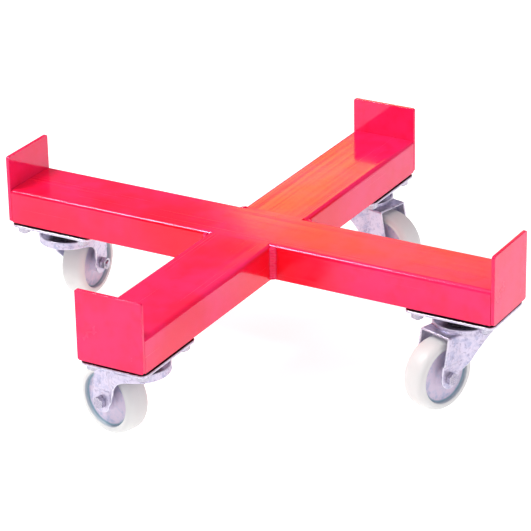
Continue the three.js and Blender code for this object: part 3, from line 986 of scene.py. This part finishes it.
def fork_field(s, f):
    """Distance field of the pressed fork: rounded head, two legs, skirt and cup."""
    outline = fork_side_outline(s.crown_top)
    sheet, crown = s.fork_sheet, s.crown_top

    neck_top, neck_run, neck_step = 80 * MM, 20 * MM, 3.0 * MM
    panel_low, panel_run = 55.0 * MM, 1.5 * MM

    def plan(x, y, z, inward):
        """Outline seen from above at each height, moved inward by a sheet or not at all."""
        narrowing = np.clip((neck_top - z) / neck_run, 0.0, 1.0)
        head = np.hypot(x, y) - (s.head_radius - neck_step * narrowing - inward)
        raised = np.clip((z - panel_low) / panel_run, 0.0, 1.0)
        raised = raised * raised * (3 - 2 * raised)
        legs = np.maximum(np.abs(y) - (s.leg_outside + s.panel_step * raised - inward), -x)
        return blend_min(head, legs, 2.2 * MM)

    def closed(x, y, z, inward, bend):
        """The fork as a solid, with its crown bent down into its sides."""
        side = plan(x, y, z, inward)
        return box_field(side, z - (crown - inward), bend)

    def fork(x, y, z):
        shell = np.maximum(closed(x, y, z, 0.0, 3.0 * MM), -closed(x, y, z, sheet, 0.8 * MM))
        radius = np.hypot(x, y)
        rim_middle = s.head_radius - sheet / 2
        rim_low, rim_high = crown - 4 * MM, FORK_TOP
        past_side = np.abs(radius - rim_middle) - sheet / 2
        past_end = np.abs(z - (rim_low + rim_high) / 2) - (rim_high - rim_low) / 2
        cup = box_field(past_side, past_end, 0.9 * MM)
        shell = blend_min(shell, cup, 1.4 * MM)
        side = outline_field(x[:, :1, :], z[:, :1, :], outline)
        shell = blend_max(shell, side, 0.9 * MM)
        axle = f.thread_radius + FIT_GAP - np.hypot(x - TRAIL, z - AXLE_HEIGHT)
        pin = np.minimum(PIN_BORE - radius, z - crown + 6 * MM)
        return np.maximum(np.maximum(shell, axle), pin)

    return fork


class DOLLY_OT_forks(bpy.types.Operator):
    """Builds the pressed forks that swivel under the caster plates."""

    bl_idname = "dolly.forks"
    bl_label = "Forks"

    def execute(self, context):
        s, f = context.scene.dolly_caster, context.scene.dolly_fastener
        low = (-s.head_radius, -s.head_radius, AXLE_HEIGHT - 13 * MM)
        high = (TRAIL + 13 * MM, s.head_radius, FORK_TOP)
        mesh = field_mesh("fork_pressing", fork_field(s, f), low, high, s.cell)
        row = ("caster_fork_{}", mesh, "swivel_{}", bright_zinc(), "zinc", "fork_{}")
        add_at_each_arm(swivel_frame, row)
        return {"FINISHED"}


class DOLLY_OT_swivel_heads(bpy.types.Operator):
    """Builds the riveted king pins and the rings of balls."""

    bl_idname = "dolly.swivel_heads"
    bl_label = "Swivel heads"

    def execute(self, context):
        f = context.scene.dolly_fastener
        pin_low, pin_high = (c.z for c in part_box("king_pin_right"))
        race_low, race_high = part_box("ball_race_right")
        tail = pin_low + 4 * MM
        head = pin_high - 4 * MM
        pin = turned(
            [
                (0, pin_low), (7.4 * MM, pin_low),
                (8.6 * MM, pin_low + 0.6 * MM), (9 * MM, pin_low + 1.6 * MM),
                (9 * MM, tail), (6 * MM, tail), (6 * MM, head), (10 * MM, head),
                (10 * MM, head + 2.2 * MM), (9.2 * MM, head + 3.2 * MM),
                (7.6 * MM, head + 3.8 * MM), (4 * MM, pin_high), (0, pin_high),
            ],
            64,
        )
        pin_mesh = new_mesh("king_pin_steel", *pin)
        ball = (race_high.z - race_low.z) / 2
        ring = (race_high.y - race_low.y) / 2 - ball
        angles = np.linspace(0, math.pi, 13)[1:-1]
        round_side = [(ball * math.sin(a), -ball * math.cos(a)) for a in angles]
        one = turned([(0.0, -ball), *round_side, (0.0, ball)], 20)
        places = [
            Matrix.Rotation(2 * math.pi * i / f.balls, 4, "Z")
            @ Matrix.Translation((ring, 0, (race_low.z + race_high.z) / 2))
            for i in range(f.balls)
        ]
        ring_of_balls = joined(*[moved(one, m) for m in places])
        race_mesh = new_mesh("ball_ring_steel", *ring_of_balls, sharp=0)
        add_at_each_arm(
            plate_frame,
            ("swivel_pin_{}", pin_mesh, "frame", oiled_steel(), "steel", "king_pin_{}"),
            ("balls_{}", race_mesh, "frame", oiled_steel(), "steel", "ball_race_{}"),
        )
        return {"FINISHED"}


# ---------------------------------------------------------------- wheels and fasteners


def wheel_profile(w, wheel_radius):
    """Closed [radius, z] profile: crowned tread, soft shoulders, recessed sides and hub."""
    half, hub, floor = w.width / 2, w.hub_width / 2, w.width / 2 - w.recess
    rim, tread_edge = w.rim_radius, 6.5 * MM
    crown_drop, shoulder_drop = 0.25 * MM, 6.0 * MM
    shoulder = []
    for i in range(13):
        a = math.radians(90 * i / 12)
        radius = wheel_radius - crown_drop - shoulder_drop * (1 - math.sin(a))
        shoulder.append((radius, tread_edge + (half - tread_edge) * math.cos(a)))
    side = [
        (w.bore, hub - 0.5 * MM),
        (w.bore + 0.5 * MM, hub),
        (w.hub_radius - 0.8 * MM, hub),
        (w.hub_radius - 0.25 * MM, hub - 0.25 * MM),
        (w.hub_radius, hub - 0.8 * MM),
        (w.hub_radius + 0.6 * MM, floor + 2.4 * MM),
        (w.hub_radius + 1.1 * MM, floor + 0.9 * MM),
        (w.hub_radius + 2.0 * MM, floor + 0.25 * MM),
        (w.hub_radius + 3.2 * MM, floor),
        (rim - 2.6 * MM, floor - 0.2 * MM),
        (rim - 1.4 * MM, floor),
        (rim - 0.8 * MM, floor + 0.4 * MM),
        (rim - 0.5 * MM, floor + 1.1 * MM),
        (rim - 0.2 * MM, half - 0.8 * MM),
        (rim + 0.05 * MM, half - 0.25 * MM),
        (rim + 0.6 * MM, half),
        (rim + 1.4 * MM, half),
        *shoulder,
    ]
    across = np.linspace(tread_edge, 0, 6)[1:-1]
    crown = [(wheel_radius - crown_drop * (z / tread_edge) ** 2, z) for z in across]
    upper = side + crown
    lower = [(r, -z) for r, z in reversed(upper)]
    groove = wheel_radius - 0.08 * MM
    parting = [(wheel_radius, 0.25 * MM), (groove, 0.0), (wheel_radius, -0.25 * MM)]
    return upper + parting + lower


class DOLLY_OT_wheels(bpy.types.Operator):
    """Builds the moulded wheels."""

    bl_idname = "dolly.wheels"
    bl_label = "Wheels"

    def execute(self, context):
        w = context.scene.dolly_wheel
        profile = wheel_profile(w, AXLE_HEIGHT)
        mesh = new_mesh("wheel_moulding", *turned(profile, w.segments), sharp=math.radians(50))
        row = ("nylon_wheel_{}", mesh, "roller_{}", moulded_nylon(), "nylon", "wheel_{}")
        add_at_each_arm(axle_frame, row)
        return {"FINISHED"}


def hexagon(flats, low, high, chamfer_low, chamfer_high, bore=0.0):
    """A hexagon whose corners are turned off at 30 degrees on one side or both."""
    per_side = 8
    count = 6 * per_side
    angles = [2 * math.pi * i / count + math.pi / 6 for i in range(count)]
    corner = flats / 2
    circle = corner * 0.97

    def on_side(a):
        """Distance to the hexagon's side at an angle."""
        return corner / math.cos((a + math.pi / 6) % (math.pi / 3) - math.pi / 6)

    def side_ring(z, into):
        """The hexagon's own outline, moved into the metal where the chamfer cuts it."""
        row = []
        for a in angles:
            drop = (on_side(a) - circle) * math.tan(math.radians(30))
            row.append((on_side(a) * math.cos(a), on_side(a) * math.sin(a), z + into * drop))
        return row

    inside = max(bore, 0.2 * MM)
    rows = [circle_of(inside, low, angles), circle_of(circle, low, angles)]
    rows.append(side_ring(low, 1 if chamfer_low else 0))
    rows.append(side_ring(high, -1 if chamfer_high else 0))
    if chamfer_high:
        rows.append(circle_of(circle, high, angles))
    if bore > 0:
        mouth, neck = (bore + 0.6 * MM, high), (bore, high - 0.5 * MM)
        rows += [circle_of(radius, z, angles) for radius, z in (mouth, neck)]
        return skin(rows + [rows[0]], capped=False)
    sunk = high - 0.18 * MM
    for radius, z in ((corner * 0.72, high), (corner * 0.66, sunk), (inside, sunk)):
        rows.append(circle_of(radius, z, angles))
    return skin(rows)


def threaded_rod(f, low, thread_to, high):
    """A bolt's shank: threaded from its tip at low up to thread_to, plain above."""
    count, root = 40, f.thread_radius - 0.62 * f.pitch
    turns = [2 * math.pi * j / count for j in range(count)]
    rows = []
    steps = int((thread_to - low) / f.pitch * 8)
    for i in range(steps + 1):
        z = low + (thread_to - low) * i / steps
        tip = min(1.0, (z - low) / (0.9 * MM))
        row = []
        for j, a in enumerate(turns):
            phase = (z / f.pitch - j / count) % 1.0
            ridge = 1 - abs(2 * phase - 1)
            rise = (f.thread_radius - root) * min(1.0, ridge * 1.25) * (0.25 + 0.75 * tip)
            radius = root + rise
            row.append((radius * math.cos(a), radius * math.sin(a), z))
        rows.append(row)
    for z in (thread_to + 0.4 * MM, high):
        rows.append(circle_of(f.thread_radius, z, turns))
    return skin(rows)


def tube(inner, outer, low, high, chamfer, steps, mouth=0.0):
    """A tube with chamfered outer edges, and chamfered inner edges where mouth is given."""
    profile = [
        (inner + mouth, low), (outer - chamfer, low), (outer, low + chamfer),
        (outer, high - chamfer), (outer - chamfer, high), (inner + mouth, high),
    ]
    if mouth:
        profile = [(inner, low + mouth), *profile, (inner, high - mouth)]
    return turned(profile, steps)


class DOLLY_OT_axles(bpy.types.Operator):
    """Builds the axle bolts, nuts and sleeves."""

    bl_idname = "dolly.axles"
    bl_label = "Axles"

    def execute(self, context):
        f, c = context.scene.dolly_fastener, context.scene.dolly_caster
        seat = c.leg_outside + FIT_GAP
        tip = seat + f.nut + f.past_nut
        head = hexagon(f.flats, seat, seat + f.head, False, True)
        shank = threaded_rod(f, -tip, -seat + 2 * MM, seat + 0.5 * MM)
        bolt = new_mesh("axle_bolt_steel", *joined(head, shank))
        bore = f.thread_radius + FIT_GAP
        nut = new_mesh("axle_nut_steel", *hexagon(f.flats, -seat - f.nut, -seat, True, True, bore))
        half = c.leg_outside - c.fork_sheet - FIT_GAP
        ends = 0.3 * MM
        sleeve_shape = tube(bore, SLEEVE_RADIUS, -half, half, ends, 48, mouth=ends)
        sleeve = new_mesh("axle_sleeve_steel", *sleeve_shape)
        add_at_each_arm(
            axle_frame,
            ("axle_{}", bolt, "swivel_{}", fastener_zinc(), "zinc", "axle_bolt_{}"),
            ("locknut_{}", nut, "swivel_{}", fastener_zinc(), "zinc", "axle_nut_{}"),
            ("spacer_{}", sleeve, "swivel_{}", oiled_steel(), "steel", "axle_sleeve_{}"),
        )
        return {"FINISHED"}


class DOLLY_OT_plate_bolts(bpy.types.Operator):
    """Builds the bolts, nuts and packing tubes that hold the casters on."""

    bl_idname = "dolly.plate_bolts"
    bl_label = "Plate bolts"

    def execute(self, context):
        f, c = context.scene.dolly_fastener, context.scene.dolly_caster
        nut_top = PLATE_HIGH.z - c.plate_sheet - FIT_GAP
        nut_low = nut_top - f.nut
        seat = PAD_HIGH.z + FIT_GAP
        head = hexagon(f.flats, seat, seat + f.head, False, True)
        nut = hexagon(f.flats, nut_low, nut_top, True, True, f.thread_radius - 0.9 * MM)
        rod = threaded_rod(f, nut_low - f.past_nut, nut_top, seat + 0.5 * MM)
        low, high = PLATE_HIGH.z + FIT_GAP, PAD_LOW.z - FIT_GAP
        inner = f.thread_radius - 0.2 * MM
        packing = tube(inner, f.packing_radius, low, high, 0.2 * MM, 40)
        mesh = new_mesh("plate_bolt_set", *joined(head, nut, rod, packing))
        spots = [(sx * BOLT_X, sy * BOLT_Y) for sx in (-1, 1) for sy in (-1, 1)]
        for place in PLACES:
            for number, (x, y) in enumerate(spots, 1):
                turn = Matrix.Rotation(math.radians(17 * number), 4, "Z")
                where = plate_frame(place) @ Matrix.Translation((x, y, 0)) @ turn
                spot = f"{place}_{number}"
                name, node = f"bolt_set_{spot}", f"plate_bolt_{spot}"
                add_piece(name, mesh, where, "frame", fastener_zinc(), "zinc", node)
        return {"FINISHED"}


# ---------------------------------------------------------------- stage


def soft_light(name, position, target, size, power, tone, shape_ratio=1.0):
    """A rectangular soft light aimed at a point."""
    light = bpy.data.lights.new(name, "AREA")
    light.shape = "RECTANGLE"
    light.size, light.size_y = size, size * shape_ratio
    light.energy = power
    light.color = tone
    lamp = bpy.data.objects.new(name, light)
    bpy.context.scene.collection.objects.link(lamp)
    lamp.location = position
    lamp.rotation_euler = (Vector(target) - Vector(position)).to_track_quat("-Z", "Y").to_euler()
    lamp.visible_camera = False
    return lamp


def studio_world(scene):
    """White to the eye, dimmer and slightly lavender as a source of light."""
    world = bpy.data.worlds.new("studio")
    scene.world = world
    world.use_nodes = True
    nodes, links = world.node_tree.nodes, world.node_tree.links
    nodes.clear()
    out = nodes.new("ShaderNodeOutputWorld")
    mixer = nodes.new("ShaderNodeMixShader")
    path = nodes.new("ShaderNodeLightPath")
    light, seen = nodes.new("ShaderNodeBackground"), nodes.new("ShaderNodeBackground")
    light.inputs["Color"].default_value = (0.90, 0.80, 1.0, 1.0)
    light.inputs["Strength"].default_value = 0.22
    seen.inputs["Color"].default_value = (1.0, 1.0, 1.0, 1.0)
    seen.inputs["Strength"].default_value = 1.05
    links.new(path.outputs["Is Camera Ray"], mixer.inputs[0])
    links.new(light.outputs[0], mixer.inputs[1])
    links.new(seen.outputs[0], mixer.inputs[2])
    links.new(mixer.outputs[0], out.inputs["Surface"])


class DOLLY_OT_stage(bpy.types.Operator):
    """Builds the floor, the soft lights and the camera."""

    bl_idname = "dolly.stage"
    bl_label = "Stage"

    def execute(self, context):
        scene = context.scene
        s = scene.dolly_stage
        scene.view_settings.view_transform = "Standard"
        scene.view_settings.look = "None"
        studio_world(scene)

        steps = 24
        half = 14.0
        spots = [half * (2 * i / steps - 1) for i in range(steps + 1)]
        rows = [[(x, y, 0.0) for x in spots] for y in spots]
        floor_mesh = new_mesh("floor_sheet", *skin(rows, closed=False, capped=False), sharp=0)
        floor_mesh.materials.append(floor_material())
        floor = bpy.data.objects.new("floor", floor_mesh)
        scene.collection.objects.link(floor)

        soft_light("overhead", (0.1, -0.2, 2.7), (0, 0, 0), 3.4, 36, (1.0, 0.99, 0.98))
        soft_light("key", (-1.15, -0.875, 2.0), (0, 0, 0.15), 0.45, 38, (1.0, 1.0, 1.0), 2.0)
        soft_light("front_fill", (0.4, -3.2, 1.3), (0, 0, 0.1), 2.2, 16, (1.0, 0.94, 1.0))
        soft_light("side_fill", (3.0, 0.2, 1.1), (0, 0, 0.1), 2.0, 18, (1.0, 0.94, 1.0))
        for name, x, y, power in (("back", -0.669, 1.509, 2.5), ("right", -0.421, 1.261, 1.25)):
            spot = (x, y, 0.758)
            name, orange = f"warm_card_{name}", (1.0, 0.32, 0.03)
            warm = soft_light(name, spot, (x, y, 0), 0.5, power, orange, 0.7)
            warm.rotation_euler = (0, 0, math.radians(45))

        turn, rise, roll = s.camera_turn, s.camera_rise, s.camera_roll
        level = math.cos(rise)
        back = Vector((math.sin(turn) * level, -math.cos(turn) * level, math.sin(rise)))
        right = Vector((math.cos(turn), math.sin(turn), 0))
        up = back.cross(right)
        tilted_right = right * math.cos(roll) + up * math.sin(roll)
        tilted_up = up * math.cos(roll) - right * math.sin(roll)
        camera = bpy.data.objects.new("camera", bpy.data.cameras.new("camera"))
        scene.collection.objects.link(camera)
        turned_to = Matrix((tilted_right, tilted_up, back)).transposed().to_4x4()
        aim = Vector((0, 0, ARM_LOW.z))
        camera.matrix_world = Matrix.Translation(aim + back * s.camera_distance) @ turned_to
        camera.data.sensor_width = 36.0
        camera.data.lens = 188.67
        camera.data.shift_x = 0.0131
        camera.data.shift_y = -0.0129
        camera.data.clip_end = 60.0
        scene.camera = camera
        return {"FINISHED"}


# ---------------------------------------------------------------- panel and running


PIECE_OPERATORS = (
    DOLLY_OT_channels,
    DOLLY_OT_stop_plates,
    DOLLY_OT_caster_pads,
    DOLLY_OT_welds,
    DOLLY_OT_top_plates,
    DOLLY_OT_forks,
    DOLLY_OT_swivel_heads,
    DOLLY_OT_wheels,
    DOLLY_OT_axles,
    DOLLY_OT_plate_bolts,
    DOLLY_OT_stage,
)


class DOLLY_PT_panel(bpy.types.Panel):
    """Sizes, finishes and build steps of the drum dolly."""

    bl_idname = "DOLLY_PT_panel"
    bl_label = "Drum Dolly"
    bl_space_type = "VIEW_3D"
    bl_region_type = "UI"
    bl_category = "Drum Dolly"

    def draw(self, context):
        for name, settings in SETTINGS.items():
            box = self.layout.box()
            group = getattr(context.scene, name)
            for prop in settings.__annotations__:
                box.prop(group, prop)
        for operator in PIECE_OPERATORS:
            self.layout.operator(operator.bl_idname)


CLASSES = (*SETTINGS.values(), *PIECE_OPERATORS, DOLLY_PT_panel)


def register():
    for cls in CLASSES:
        bpy.utils.register_class(cls)
    for name, settings in SETTINGS.items():
        setattr(bpy.types.Scene, name, PointerProperty(type=settings))


def unregister():
    for name in SETTINGS:
        delattr(bpy.types.Scene, name)
    for cls in reversed(CLASSES):
        bpy.utils.unregister_class(cls)


def main():
    register()
    for operator in PIECE_OPERATORS:
        group, action = operator.bl_idname.split(".")
        getattr(getattr(bpy.ops, group), action)()


if __name__ == "__main__":
    main()
